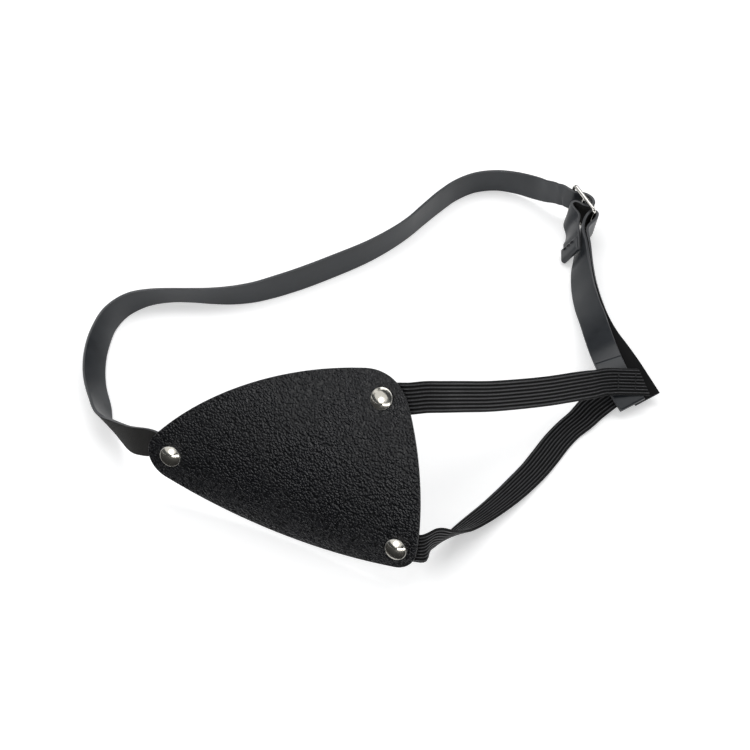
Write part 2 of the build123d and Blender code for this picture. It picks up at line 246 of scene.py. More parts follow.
def finish_mesh(name, verts, faces, material, uvs=None):
    mesh = bpy.data.meshes.new(name)
    mesh.from_pydata([place(v) for v in verts], [], faces)
    if uvs:
        layer = mesh.uv_layers.new(name="UVMap")
        for loop in mesh.loops:
            layer.data[loop.index].uv = uvs[loop.vertex_index]
    mesh.polygons.foreach_set("use_smooth", [True] * len(mesh.polygons))
    mesh.materials.append(material)
    mesh.update()
    piece = bpy.data.objects.new(name, mesh)
    bpy.context.scene.collection.objects.link(piece)
    return piece


def strap_profile(width, thick):
    """Section of a leather strap: flat faces, slightly rounded corners."""
    half = width / 2
    deep = thick / 2
    soft = strap_corner
    inset = 0.25
    quarter = (0, pi / 6, pi / 3, pi / 2)
    flat_end = half - soft - inset
    face = [-flat_end, -half * 0.66, -half * 0.33, 0, half * 0.33, half * 0.66, flat_end]
    ring = [(w, deep) for w in face]
    ring += [(half - soft + soft * sin(a), deep - soft + soft * cos(a)) for a in quarter]
    ring += [(half - soft + soft * cos(a), -deep + soft - soft * sin(a)) for a in quarter]
    ring += [(w, -deep) for w in reversed(face)]
    ring += [(-half + soft - soft * sin(a), -deep + soft - soft * cos(a)) for a in quarter]
    ring += [(-half + soft - soft * cos(a), deep - soft + soft * sin(a)) for a in quarter]
    return ring


def elastic_profile(width, thick):
    """Section of a braided elastic: lengthwise ribs on both faces."""
    half = width / 2
    deep = thick / 2
    steps = elastic_ribs * 8
    edge = elastic_selvedge
    rib_deep = 0.4
    nose = 0.06
    nose_half = 0.12
    face = []
    for k in range(steps + 1):
        part = k / steps
        swell = abs(sin(pi * elastic_ribs * part)) ** 1.3
        face.append((-half + edge + (width - 2 * edge) * part, deep - rib_deep + rib_deep * swell))
    ring = face + [(half - nose, nose_half), (half, 0.0), (half - nose, -nose_half)]
    ring += [(w, -t) for w, t in reversed(face)]
    ring += [(-half + nose, -nose_half), (-half, 0.0), (-half + nose, nose_half)]
    return ring


def ribbon(
    name, points, widths, profile, material, narrow=None, first=True, last=True, slant=0.0,
    backing=None, cloth_side=1, cloth_end=None,
):
    """Strap along a smooth route.

    narrow gives a width factor at each point, slant a slanted last end; first and last close the ends.
    backing is a second material on the face at cloth_side, as far as the point numbered cloth_end.
    """
    count = len(profile)
    last_row = len(points) - 1
    slant_rows = 7
    # distance from the section's middle from which a point is on a face, and on the cloth
    edge_face = 0.14
    cloth_face = 0.3
    around = [0.0]
    for a, b in zip(profile, profile[1:]):
        around.append(around[-1] + sqrt((b[0] - a[0]) ** 2 + (b[1] - a[1]) ** 2))
    verts, faces, uvs = [], [], []
    run = 0.0
    ways = tangents(points)
    for i, (point, way, width) in enumerate(zip(points, ways, widths)):
        across = (width - way * width.dot(way)).normalized()
        out = way.cross(across)
        if i:
            run += (point - points[i - 1]).length
        slim = narrow[i] if narrow else 1.0
        skew = slant * max(0.0, (i - last_row + slant_rows) / slant_rows)
        for (w, t), v in zip(profile, around):
            verts.append(point + across * (w * slim) + out * t + way * (w * skew))
            uvs.append((run, w * slim if abs(t) > edge_face else v))
    for i in range(last_row):
        for j in range(count):
            k = (j + 1) % count
            faces.append((i * count + j, i * count + k, (i + 1) * count + k, (i + 1) * count + j))
    if first:
        faces.append(tuple(reversed(range(count))))
    if last:
        base = last_row * count
        faces.append(tuple(range(base, base + count)))
    piece = finish_mesh(name, verts, faces, material, uvs)
    if backing:
        piece.data.materials.append(backing)
        for face in piece.data.polygons:
            j = face.index % count
            heights = (profile[j][1] * cloth_side, profile[(j + 1) % count][1] * cloth_side)
            if face.index < (cloth_end or last_row) * count and min(heights) > cloth_face:
                face.material_index = 1
    return piece


def round_end(distance):
    """Width factor of a strap's rounded end, distance past the rivet; never quite zero."""
    least = 0.12
    return max(least, sqrt(max(0.0, 1 - (distance / tab_radius) ** 2))) if distance < 0 else 1.0


def tube(name, points, radius, material, sides, closed=False):
    """Round rod through the points."""
    verts, faces = [], []
    n = len(points)
    # a direction that no rod follows; each next side is the one before, made square to the rod
    side = Vector((0.31, 0.23, 0.92))
    for i, point in enumerate(points):
        if closed:
            way = (points[(i + 1) % n] - points[i - 1]).normalized()
        else:
            way = (points[min(i + 1, n - 1)] - points[max(i - 1, 0)]).normalized()
        side = (side - way * side.dot(way)).normalized()
        other = way.cross(side)
        for k in range(sides):
            a = 2 * pi * k / sides
            verts.append(point + side * (cos(a) * radius) + other * (sin(a) * radius))
    for i in range(n if closed else n - 1):
        for k in range(sides):
            j = (k + 1) % sides
            m = (i + 1) % n
            faces.append((i * sides + k, i * sides + j, m * sides + j, m * sides + k))
    if not closed:
        faces.append(tuple(reversed(range(sides))))
        faces.append(tuple(range((n - 1) * sides, n * sides)))
    return finish_mesh(name, verts, faces, material)


def join(name, parts):
    """One object from several."""
    verts, faces = [], []
    material = parts[0].data.materials[0]
    for part in parts:
        base = len(verts)
        verts += [v.co.copy() for v in part.data.vertices]
        faces += [tuple(base + i for i in p.vertices) for p in part.data.polygons]
        bpy.data.objects.remove(part)
    mesh = bpy.data.meshes.new(name)
    mesh.from_pydata(verts, [], faces)
    mesh.polygons.foreach_set("use_smooth", [True] * len(mesh.polygons))
    mesh.materials.append(material)
    piece = bpy.data.objects.new(name, mesh)
    bpy.context.scene.collection.objects.link(piece)
    return piece


# ---- materials --------------------------------------------------------------------------------


class Shader:
    """Principled material with a short way to add nodes."""

    def __init__(self, name, colour, roughness, metallic=0.0):
        self.material = bpy.data.materials.new(name)
        self.material.use_nodes = True
        self.tree = self.material.node_tree
        self.main = self.tree.nodes["Principled BSDF"]
        self.main.inputs["Base Color"].default_value = (*colour, 1)
        self.main.inputs["Roughness"].default_value = roughness
        self.main.inputs["Metallic"].default_value = metallic

    def node(self, kind, **values):
        made = self.tree.nodes.new(kind)
        for key, value in values.items():
            if hasattr(made, key):
                setattr(made, key, value)
            else:
                made.inputs[key.replace("_", " ")].default_value = value
        return made

    def link(self, a, out, b, into):
        self.tree.links.new(a.outputs[out], b.inputs[into])

    def math(self, operation, first, second=None):
        made = self.tree.nodes.new("ShaderNodeMath")
        made.operation = operation
        for k, value in enumerate((first, second)):
            if value is None:
                continue
            if isinstance(value, tuple):
                self.tree.links.new(value[0].outputs[value[1]], made.inputs[k])
            else:
                made.inputs[k].default_value = value
        return made

    def ramp(self, source, out, stops):
        made = self.tree.nodes.new("ShaderNodeValToRGB")
        while len(made.color_ramp.elements) < len(stops):
            made.color_ramp.elements.new(0.5)
        for element, (position, shade) in zip(made.color_ramp.elements, stops):
            element.position = position
            element.color = (*shade, 1) if isinstance(shade, tuple) else (shade, shade, shade, 1)
        self.tree.links.new(source.outputs[out], made.inputs["Fac"])
        return made

    def bump(self, source, out, strength, distance, after=None):
        made = self.node("ShaderNodeBump", Strength=strength, Distance=distance)
        self.tree.links.new(source.outputs[out], made.inputs["Height"])
        if after:
            self.tree.links.new(after.outputs["Normal"], made.inputs["Normal"])
        return made


def pebbled_leather():
    """Small irregular pebbles with creases between them, painted shade down in the creases, a satin top
    coat.
    """
    s = Shader("pebbled_leather", (0.005, 0.005, 0.0062), 0.3)
    s.main.inputs["Specular IOR Level"].default_value = 0.42
    where = s.node("ShaderNodeTexCoord")
    warp = s.node("ShaderNodeTexNoise", Scale=700.0, Detail=2.0)
    s.link(where, "Object", warp, "Vector")
    shift = s.node("ShaderNodeVectorMath", operation="MULTIPLY_ADD")
    s.link(warp, "Color", shift, 0)
    shift.inputs[1].default_value = (0.0008, 0.0008, 0.0008)
    s.link(where, "Object", shift, 2)
    cells = s.node("ShaderNodeTexVoronoi", feature="SMOOTH_F1", Scale=1250.0, Smoothness=0.3)
    s.link(shift, 0, cells, "Vector")
    pebbles = s.ramp(cells, "Distance", [(0.05, 1.0), (0.42, 0.62), (0.78, 0.0)])
    swell = s.node("ShaderNodeTexNoise", Scale=300.0, Detail=2.0)
    s.link(where, "Object", swell, "Vector")
    fine = s.node("ShaderNodeTexNoise", Scale=2600.0, Detail=3.0, Roughness=0.6)
    s.link(where, "Object", fine, "Vector")
    first = s.bump(pebbles, "Color", 1.0, 0.00026)
    second = s.bump(swell, "Fac", 0.4, 0.0003, first)
    third = s.bump(fine, "Fac", 0.5, 0.00012, second)
    s.link(third, "Normal", s.main, "Normal")
    patches = s.node("ShaderNodeTexNoise", Scale=70.0, Detail=2.0)
    s.link(where, "Object", patches, "Vector")
    gloss = s.ramp(patches, "Fac", [(0.3, 0.22), (0.7, 0.32)])
    s.link(gloss, "Color", s.main, "Roughness")
    # base colour is darker down in the creases between the pebbles: painted shade
    shade = s.ramp(pebbles, "Color", [(0.0, (0.0012, 0.0013, 0.0019)), (1.0, (0.0055, 0.0058, 0.0078))])
    s.link(shade, "Color", s.main, "Base Color")
    return s.material


def strap_backing(name, low, high):
    """Woven cloth on the underside of the strap."""
    s = Shader(name, low, 0.85)
    s.main.inputs["Specular IOR Level"].default_value = 0.25
    where = s.node("ShaderNodeUVMap", uv_map="UVMap")
    warp = s.node("ShaderNodeTexWave", wave_type="BANDS", bands_direction="X", Scale=0.8, Distortion=0.8)
    s.link(where, "UV", warp, "Vector")
    weft = s.node("ShaderNodeTexWave", wave_type="BANDS", bands_direction="Y", Scale=0.8, Distortion=0.8)
    s.link(where, "UV", weft, "Vector")
    cloth = s.math("MULTIPLY", (warp, "Fac"), (weft, "Fac"))
    s.link(s.bump(cloth, 0, 0.6, 0.00012), "Normal", s.main, "Normal")
    shade = s.ramp(cloth, 0, [(0.1, low), (0.9, high)])
    s.link(shade, "Color", s.main, "Base Color")
    return s.material


def smooth_leather():
    """Flat coated strap leather: very fine grain, faint uneven gloss, paler cut edges."""
    s = Shader("smooth_leather", (0.022, 0.024, 0.027), 0.45)
    where = s.node("ShaderNodeTexCoord")
    fine = s.node("ShaderNodeTexNoise", Scale=2200.0, Detail=4.0, Roughness=0.6)
    s.link(where, "Object", fine, "Vector")
    wide = s.node("ShaderNodeTexNoise", Scale=130.0, Detail=3.0)
    s.link(where, "Object", wide, "Vector")
    first = s.bump(fine, "Fac", 0.35, 0.00006)
    second = s.bump(wide, "Fac", 0.15, 0.0003, first)
    s.link(second, "Normal", s.main, "Normal")
    gloss = s.ramp(wide, "Fac", [(0.3, 0.33), (0.7, 0.43)])
    s.link(gloss, "Color", s.main, "Roughness")
    shade = s.ramp(wide, "Fac", [(0.3, (0.0085, 0.0105, 0.0135)), (0.7, (0.0145, 0.0175, 0.0215))])
    across = s.node("ShaderNodeSeparateXYZ")
    s.link(s.node("ShaderNodeUVMap", uv_map="UVMap"), "UV", across, "Vector")
    rim_from = strap_width / 2 - strap_corner
    rim = s.math("GREATER_THAN", (s.math("ABSOLUTE", (across, "Y")), 0), rim_from)
    tint = s.node("ShaderNodeMix", data_type="RGBA")
    s.link(rim, 0, tint, 0)
    s.link(shade, "Color", tint, 6)
    tint.inputs[7].default_value = (0.05, 0.052, 0.056, 1)
    s.link(tint, 2, s.main, "Base Color")
    return s.material


def ribbed_elastic():
    """Black braid: glossy lengthwise ribs, fine threads across them; painted highlight along the rib
    crests, painted shade in the channels between them.
    """
    s = Shader("ribbed_elastic", (0.006, 0.006, 0.007), 0.5)
    s.main.inputs["Specular IOR Level"].default_value = 0.3
    where = s.node("ShaderNodeUVMap", uv_map="UVMap")
    threads = s.node(
        "ShaderNodeTexWave", wave_type="BANDS", bands_direction="X", Scale=0.55, Distortion=1.2, Detail=2.0,
    )
    s.link(where, "UV", threads, "Vector")
    fuzz = s.node("ShaderNodeTexNoise", Scale=1.6, Detail=5.0, Roughness=0.7)
    s.link(where, "UV", fuzz, "Vector")
    first = s.bump(threads, "Fac", 0.4, 0.00010)
    second = s.bump(fuzz, "Fac", 0.5, 0.00010, first)
    s.link(second, "Normal", s.main, "Normal")
    across = s.node("ShaderNodeSeparateXYZ")
    s.link(where, "UV", across, "Vector")
    turn = s.math("MULTIPLY", (across, "Y"), pi * elastic_ribs / (elastic_width - 2 * elastic_selvedge))
    crest = s.math("ABSOLUTE", (s.math("SINE", (turn, 0)), 0))
    jittered_crest = s.math("MULTIPLY_ADD", (fuzz, "Fac"), 0.3)
    s.link(crest, 0, jittered_crest, 2)
    height = s.math("MULTIPLY", (jittered_crest, 0), 0.86)
    # colour follows the rib crest: painted shade in the channels, painted highlight on the crests
    channel_painted_shade = (0.0006, 0.0006, 0.0008)
    flank = (0.006, 0.006, 0.0065)
    ridge_painted_highlight = (0.06, 0.06, 0.064)
    shade = s.ramp(height, 0, [(0.72, channel_painted_shade), (0.9, flank), (1.0, ridge_painted_highlight)])
    s.link(shade, "Color", s.main, "Base Color")
    gloss = s.ramp(crest, 0, [(0.4, 1.0), (0.9, 0.38)])
    s.link(gloss, "Color", s.main, "Roughness")
    return s.material


def nickel(name, colour, roughness):
    """Polished plated metal with faint handling marks."""
    s = Shader(name, colour, roughness, 1.0)
    where = s.node("ShaderNodeTexCoord")
    marks = s.node("ShaderNodeTexNoise", Scale=700.0, Detail=3.0)
    s.link(where, "Object", marks, "Vector")
    gloss = s.ramp(marks, "Fac", [(0.35, roughness * 0.7), (0.7, roughness * 1.5)])
    s.link(gloss, "Color", s.main, "Roughness")
    dents = s.bump(marks, "Fac", 0.12, 0.00012)
    s.link(dents, "Normal", s.main, "Normal")
    return s.material


def brushed_rim_painted_highlight():
    """Edge of the caps, less polished than the crown, and paler than the crown's metal as a painted
    highlight.
    """
    s = Shader("rivet_rim", (0.86, 0.84, 0.78), 0.42, 1.0)
    where = s.node("ShaderNodeTexCoord")
    marks = s.node("ShaderNodeTexNoise", Scale=1500.0, Detail=2.0)
    s.link(where, "Object", marks, "Vector")
    gloss = s.ramp(marks, "Fac", [(0.35, 0.3), (0.7, 0.5)])
    s.link(gloss, "Color", s.main, "Roughness")
    return s.material


def thread_material():
    """Dull black sewing thread with a fine twist."""
    s = Shader("thread", (0.012, 0.012, 0.013), 0.8)
    where = s.node("ShaderNodeTexCoord")
    twist = s.node("ShaderNodeTexNoise", Scale=6000.0, Detail=2.0)
    s.link(where, "Object", twist, "Vector")
    s.link(s.bump(twist, "Fac", 0.5, 0.00004), "Normal", s.main, "Normal")
    return s.material


leather = pebbled_leather()
strap_leather = smooth_leather()
# the loop's cloth is a far darker copy of the strap's cloth: painted shade for the deep gap between the
# loop's two layers
loop_cloth_painted_shade = strap_backing("loop_cloth_painted_shade", (0.0015, 0.0015, 0.0018), (0.009, 0.009, 0.0098))
strap_cloth = strap_backing("strap_cloth", (0.008, 0.0078, 0.0075), (0.034, 0.033, 0.0315))
braid = ribbed_elastic()
rivet_metal = nickel("rivet_metal", (0.68, 0.65, 0.58), 0.16)
rim_metal = brushed_rim_painted_highlight()
slider_metal = nickel("slider_metal", (0.72, 0.70, 0.66), 0.14)
thread = thread_material()

# ---- the panel --------------------------------------------------------------------------------


def make_panel():
    """Front, rounded rim and back from rings of one outline."""
    outline = panel_outline()
    count = len(outline)
    middle = Vector((-1.0, -4.0))
    deep = panel_thick - 0.05
    soft = 0.34
    flat_inset = 0.7
    steps = 26
    quarter = [k * pi / 8 for k in range(5)]
    # share of the way out, distance in from the outline, depth below the front
    rings = [(k / steps, flat_inset, 0.0) for k in range(1, steps + 1)]
    rings += [(1.0, soft * (1 - sin(a)), soft * (1 - cos(a))) for a in quarter]
    rings += [(1.0, soft * (1 - cos(a)), deep - soft + soft * sin(a)) for a in quarter]
    rings += [(k / steps, flat_inset, deep) for k in range(steps, 0, -1)]
    inward = []
    for i in range(count):
        along = (outline[(i + 1) % count] - outline[i - 1]).normalized()
        inward.append(Vector((-along.y, along.x)))
    verts, faces = [panel_point(*middle, depth=0.0)[0]], []
    for share, inset, depth in rings:
        for i in range(count):
            edge = outline[i] + inward[i] * inset
            spot = middle + (edge - middle) * share
            verts.append(panel_point(spot.x, spot.y, depth=depth)[0])
    verts.append(panel_point(*middle, depth=deep)[0])
    for i in range(count):
        faces.append((0, 1 + i, 1 + (i + 1) % count))
    for r in range(len(rings) - 1):
        base = 1 + r * count
        for i in range(count):
            j = (i + 1) % count
            faces.append((base + i, base + count + i, base + count + j, base + j))
    base = 1 + (len(rings) - 1) * count
    for i in range(count):
        faces.append((len(verts) - 1, base + (i + 1) % count, base + i))
    return finish_mesh("patch", verts, faces, leather)


def lathe(name, origin, axis, profile, material):
    """Turned piece; profile is radius and height along the axis. A crown's pole keeps a tiny radius."""
    sides = cap_sides
    pole = 0.001
    side = axis.orthogonal().normalized()
    other = axis.cross(side)
    verts, faces = [], []
    for radius, height in profile:
        for k in range(sides):
            a = 2 * pi * k / sides
            verts.append(origin + axis * height + (side * cos(a) + other * sin(a)) * max(radius, pole))
    for r in range(len(profile) - 1):
        for k in range(sides):
            j = (k + 1) % sides
            faces.append((r * sides + k, r * sides + j, (r + 1) * sides + j, (r + 1) * sides + k))
    faces.append(tuple(reversed(range(sides))))
    faces.append(tuple(range((len(profile) - 1) * sides, len(profile) * sides)))
    return finish_mesh(name, verts, faces, material)


def cap_profile(radius, height):
    """Pressed cap: a short neck, a rolled rim and a low crown."""
    rim = 0.36
    neck = radius - 0.3
    neck_foot = -0.55
    profile = [(neck, neck_foot), (neck, 0.0)]
    rolled = (0, pi / 6, pi / 3, pi / 2, 2 * pi / 3)
    profile += [(radius - rim + rim * sin(a), rim - rim * cos(a)) for a in rolled]
    shoulder_r, shoulder_h = profile[-1]
    crown = height - shoulder_h
    curve = (shoulder_r ** 2 + crown ** 2) / (2 * crown)
    steps = 14
    widest = asin(min(1.0, shoulder_r / curve))
    for k in range(1, steps + 1):
        a = widest * (1 - k / steps)
        profile.append((curve * sin(a), height - curve * (1 - cos(a))))
    return profile


panel = make_panel()
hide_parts("patch_panel")
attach(panel, "band")

# the caps sit a little askew
rivet_tilt = {
    "left": Vector((0.16, 0.0, 0.04)), "upper": Vector((0, 0, 0)), "lower": Vector((0.08, 0.0, 0.02)),
}
front_cap = cap_profile(3.65, 1.7)
back_cap = cap_profile(3.6, 1.5)
rim_rows = range(2, 7)
cap_lift = 0.12
for name in rivet_places:
    front, out = panel_point(*rivet_places[name])[:2]
    facing = (out + rivet_tilt[name]).normalized()
    cap = lathe("rivet_front_" + name, front + out * cap_lift, facing, front_cap, rivet_metal)
    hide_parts("rivet_cap_" + name)
    back = lathe("rivet_back_" + name, front - out * back_seat, -out, back_cap, rivet_metal)
    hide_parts("rivet_back_" + name)
    # the rolled rim rows take the paler metal: painted highlight
    cap.data.materials.append(rim_metal)
    for face in cap.data.polygons:
        if face.index // cap_sides in rim_rows:
            face.material_index = 1
    for piece in (cap, back):
        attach(piece, "band")

# ---- left strap -------------------------------------------------------------------------------
# stations x, y, z, lean; those of left_round are at the strap's lower edge
left_descent = [
    (-77.6, -58.4, 15.4, 80), (-80.9, -55.4, 13.2, 84), (-84.1, -50.8, 10.4, 92), (-87.2, -45.8, 7.9, 102),
    (-90.2, -41.2, 5.9, 112),
]
left_round = [
    (-90.4, -36.4, 0.4, 120), (-92.4, -26.0, 0.5, 134), (-95.2, -15.5, 0.5, 135), (-96.6, -4.5, 0.5, 131),
    (-96.4, 6.5, 0.4, 123), (-94.7, 16.8, 0.2, 109), (-90.4, 25.0, 0.0, 90), (-84.0, 29.8, 0.2, 74),
    (-76.2, 31.8, 0.3, 67), (-68.4, 31.8, 0.3, 67), (-60.6, 31.0, 0.2, 72), (-52.8, 30.8, 0.1, 79),
    (-45.2, 32.0, 0.0, 85), (-37.8, 34.6, 0.0, 90), (-30.6, 38.0, 0.0, 92), (-16.1, 46.6, 0.0, 93),
    (-1.8, 56.8, 0.0, 90), (11.6, 70.2, 0.0, 87), (18.2, 78.8, 0.0, 89), (24.8, 87.2, 0.0, 91),
    (31.6, 94.8, 0.0, 89), (39.3, 99.9, 0.0, 86), (47.6, 100.9, 0.2, 86), (55.5, 97.8, 0.8, 91),
    (62.4, 92.6, 2.0, 95),
]
slider_along = heading(slider_turn, slider_drop)
slider_up = upright(slider_along)
slider_in = slider_along.cross(slider_up)


def in_slider(along, inward, up=0.0):
    """Point given from the slider's centre."""
    return slider_centre + slider_along * along + slider_in * inward + slider_up * up


left_approach = [Vector((66.9, 88.1, 9.1)), Vector((69.2, 86.0, 10.0)), Vector((71.1, 84.3, 10.45))]
# along, inward and up from the slider's centre: inside the near bar, out round the centre bar, in again
weave_route = [
    (-9.4, 2.6, -0.5), (-7.6, 2.0, -0.1), (-5.6, 0.9, 0.0), (-4.1, -0.9, 0.0), (-2.6, -2.7, 0.0),
    (0.0, -3.8, 0.0), (2.3, -3.1, 0.0), (3.1, -0.9, 0.0), (1.9, 1.0, 0.0), (0.0, 2.0, 0.0),
    (-1.3, 3.4, 0.0), (-0.9, 5.0, 0.0), (1.1, 6.2, 0.0), (4.5, 7.0, 0.0),
]
tail_stations = [(74.8, 66.4, 7.2, 113), (74.3, 62.7, 6.6, 118)]
tail_way = Vector((-0.03, -0.97, -0.22)).normalized()
fold_start = Vector((74.1, 61.8, 6.45))
fold_across = lean_direction(tail_way, 120)
fold_inward = tail_way.cross(fold_across)

left_points, left_widths = leaning_route(left_descent + standing(left_round, strap_width))
left_widths += [slider_up] * 3
left_points += left_approach
tab = [end_station("left", left_turn, d) for d in tab_distances]
weave_points = [in_slider(*p) for p in weave_route]
tail_points, tail_widths = leaning_route(tail_stations)

start_points, start_widths = even_steps(
    [p for p, w in tab[-3:]] + left_points + weave_points[:3],
    [-w for p, w in tab[-3:]] + left_widths + [slider_up] * 3,
    pitch=1.4,
)
halves_meet = Vector((11.6, 70.2, 5.0))
split = min(range(len(start_points)), key=lambda i: (start_points[i] - halves_meet).length)
leather_section = strap_profile(strap_width, strap_thick)

first_points = [p for p, w in tab[:-3]] + start_points[: split + 1]
first_widths = [-w for p, w in tab[:-3]] + start_widths[: split + 1]
narrow = [round_end(d) for d in tab_distances[:-3]] + [1.0] * (split + 1)
strap_first = ribbon(
    "strap_left", first_points, first_widths, leather_section, strap_leather, narrow, last=False,
    backing=strap_cloth, cloth_side=-1,
)
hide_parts("left_strap_end", "left_strap")
# the end's turn is taken up between the rivet and this place
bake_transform(strap_first)

# second half of the strap, through the slider as far as the outside of its centre bar
route_points = left_points + weave_points + tail_points + [fold_start]
tail_twist = 0.42
turned_up = (slider_up - slider_in * tail_twist).normalized()
weave_widths = [slider_up] * (len(weave_points) - 2) + [(slider_up + turned_up).normalized(), turned_up]
route_widths = left_widths + weave_widths + tail_widths + [fold_across]
fine_points, fine_widths = even_steps(route_points, route_widths, pitch=0.6)
begin = min(range(len(fine_points)), key=lambda i: (fine_points[i] - start_points[split]).length)
past_bar = weave_points[6]
outside = min(range(len(fine_points)), key=lambda i: (fine_points[i] - past_bar).length)
# the same section where the two halves meet
fine_points[begin], fine_widths[begin] = start_points[split], start_widths[split]
strap_second = ribbon(
    "strap_right", fine_points[begin : outside + 1], fine_widths[begin : outside + 1], leather_section,
    strap_leather, first=False, last=False, backing=strap_cloth, cloth_side=-1,
)
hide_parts("strap_weave")
# the slider's turn is taken up between this place and the slider
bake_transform(strap_second)

# ---- tail with its sewn stop fold ----------------------------------------------------------------
tail_run = fine_points[outside:]
tail_across = fine_widths[outside:]
cloth_end = len(tail_run) - 1
fold_length = 8.6
fold_flap = 5.4
fold_room = 0.7
fold_nose = 0.62
fold_rise = strap_thick + 0.06
flap_sink = 0.02
end_point = fold_start + tail_way * fold_length
for k in range(1, 9):
    tail_run.append(fold_start + tail_way * ((fold_length - fold_room) * k / 8))
for k in range(1, 8):
    a = pi * k / 8
    rise = fold_inward * (fold_rise / 2 * (1 - cos(a)))
    tail_run.append(end_point - tail_way * fold_room + tail_way * (fold_nose * sin(a)) + rise)
for k in range(7):
    rise = fold_inward * (fold_rise - flap_sink * k)
    tail_run.append(end_point - tail_way * (fold_room + (fold_flap - fold_room) * k / 6) + rise)
tail_across += [fold_across] * (len(tail_run) - len(tail_across))
tail = ribbon(
    "tail", tail_run, tail_across, leather_section, strap_leather, first=False,
    backing=strap_cloth, cloth_side=-1, cloth_end=cloth_end,
)
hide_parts("tail_end")
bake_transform(tail)


def stitches(name, rows):
    """Rows of thread: each stitch is a short arched rod whose ends dip into the leather."""
    radius = 0.2
    length = 1.6
    gap = 0.7
    arch = 1.5
    dip = 0.55
    rods = []
    for start, end, out in rows:
        way = (end - start).normalized()
        count = int(((end - start).length + gap) / (length + gap))
        slack = ((end - start).length + gap - count * (length + gap)) / 2
        for k in range(count):
            foot = start + way * (slack + k * (length + gap))
            line = []
            for j in range(9):
                part = j / 8
                line.append(foot + way * (length * part) + out * (radius * (arch * sin(pi * part) - dip)))
            rods.append(tube(name + "_rod", line, radius, thread, 8))
    return join(name, rods)


flap_margin = 1.0
flap_face = end_point - tail_way * (fold_flap - flap_margin) + fold_inward * (fold_rise + strap_thick / 2)
half_row = fold_across * stitch_row_half
tail_thread = stitches("tail_thread", [(flap_face - half_row, flap_face + half_row, fold_inward)])
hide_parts("tail_stitching")
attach(tail_thread, "tail")

# ---- slider ---------------------------------------------------------------------------------------
frame_loop = []
corner_along = bar_offset - ring_corner
corner_up = ring_half_high - ring_corner
for centre_a, centre_u, first in (
    (corner_along, corner_up, 0), (-corner_along, corner_up, 90),
    (-corner_along, -corner_up, 180), (corner_along, -corner_up, 270),
):
    for k in range(9):
        a = radians(first + 90 * k / 8)
        frame_loop.append(in_slider(centre_a + ring_corner * cos(a), 0, centre_u + ring_corner * sin(a)))
dense = []
for i, point in enumerate(frame_loop):
    ahead = frame_loop[(i + 1) % len(frame_loop)]
    steps = max(1, round((ahead - point).length / 0.8))
    dense += [point.lerp(ahead, k / steps) for k in range(steps)]
ring = tube("slider_ring", dense, ring_wire, slider_metal, 20, closed=True)
bar_inset = 0.3
bar_length = 2 * ring_half_high - 2 * bar_inset
bar_line = [in_slider(0, 0, -ring_half_high + bar_inset + bar_length * k / 12) for k in range(13)]
centre_bar = tube("slider_bar", bar_line, bar_wire, slider_metal, 20)
slider = join("slider", [ring, centre_bar])
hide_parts("slider_frame")
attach(slider, "slider")

# ---- doubled strap ----------------------------------------------------------------------------------
# middle of the two layers: x, y, z, lean, distance between the layers, their slip across each other
loop_spine = [
    (78.2, 62.6, 6.9, 101, 1.7, 0.0), (77.6, 54.5, 6.1, 113, 1.4, 0.0), (76.8, 45.5, 5.6, 127, 1.35, 0.0),
    (76.7, 36.0, 5.0, 136, 1.35, 0.2), (77.4, 25.0, 5.2, 145, 1.35, 0.5), (78.7, 13.0, 6.7, 152, 1.5, 0.7),
    (80.2, 1.0, 9.0, 159, 1.8, 2.1), (82.0, -7.5, 10.1, 164, 2.3, 3.9), (84.8, -15.2, 9.0, 168, 2.6, 5.7),
    (88.0, -20.8, 6.1, 168, 2.5, 6.5), (91.4, -26.2, 3.2, 168, 2.5, 6.6),
]
far_bar = in_slider(bar_offset, 0.0)
spine_points = [Vector(s[:3]) for s in loop_spine]
spine_ways = tangents([far_bar] + spine_points)[1:]
inner_route, outer_route = [], []
for point, along, station in zip(spine_points, spine_ways, loop_spine):
    across = lean_direction(along, station[3])
    inward = along.cross(across)
    half_gap = inward * (station[4] / 2)
    half_slip = across * (station[5] / 2)
    inner_route.append((point + half_gap - half_slip, across))
    outer_route.append((point - half_gap + half_slip, across))
leave_way = (spine_points[0] - far_bar).normalized()
leave_way = (leave_way - slider_up * leave_way.dot(slider_up)).normalized()
leave_in = leave_way.cross(slider_up)
turn_route = []
for step in range(7):
    angle = radians(30 * step)
    reach = leave_in * cos(angle) - leave_way * sin(angle)
    turn_route.append((far_bar + reach * loop_radius, slider_up))
loop_route = inner_route[::-1] + turn_route + outer_route
loop_points, loop_widths = even_steps([p for p, w in loop_route], [w for p, w in loop_route], pitch=0.8)
loop_strap = ribbon(
    "strap_loop", loop_points, loop_widths, leather_section, strap_leather, backing=loop_cloth_painted_shade,
)
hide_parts("loop_strap")
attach(loop_strap, "band")

# the strap's end is turned under: a second thin layer as far as its cut edge
hem_length = 18.6
hem_gap = 0.72
hem_width = 9.7
hem_thick = 0.6
hem_route = inner_route[:6:-1]
hem_points, hem_widths = even_steps([p for p, w in hem_route], [w for p, w in hem_route], pitch=0.6)
hem_run = 0.0
hem_count = 1
while hem_run < hem_length:
    hem_run += (hem_points[hem_count] - hem_points[hem_count - 1]).length
    hem_count += 1
hem_rise = []
for i, way in enumerate(tangents(hem_points[:hem_count])):
    hem_rise.append(-way.cross(hem_widths[i]).normalized() * hem_gap)
hem = ribbon(
    "strap_hem", [p + r for p, r in zip(hem_points, hem_rise)], hem_widths[:hem_count],
    strap_profile(hem_width, hem_thick), strap_leather,
)
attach(hem, "band")

joint_corner = spine_points[-1]
joint_way = (joint_corner - spine_points[-2]).normalized()
joint_out = joint_way.cross(lean_direction(joint_way, loop_spine[-1][3]))
joint_across = joint_out.cross(joint_way)


def at_joint(back, sideways, out):
    """Point given from the end of the doubled strap's middle."""
    return joint_corner - joint_way * back + joint_across * sideways + joint_out * out


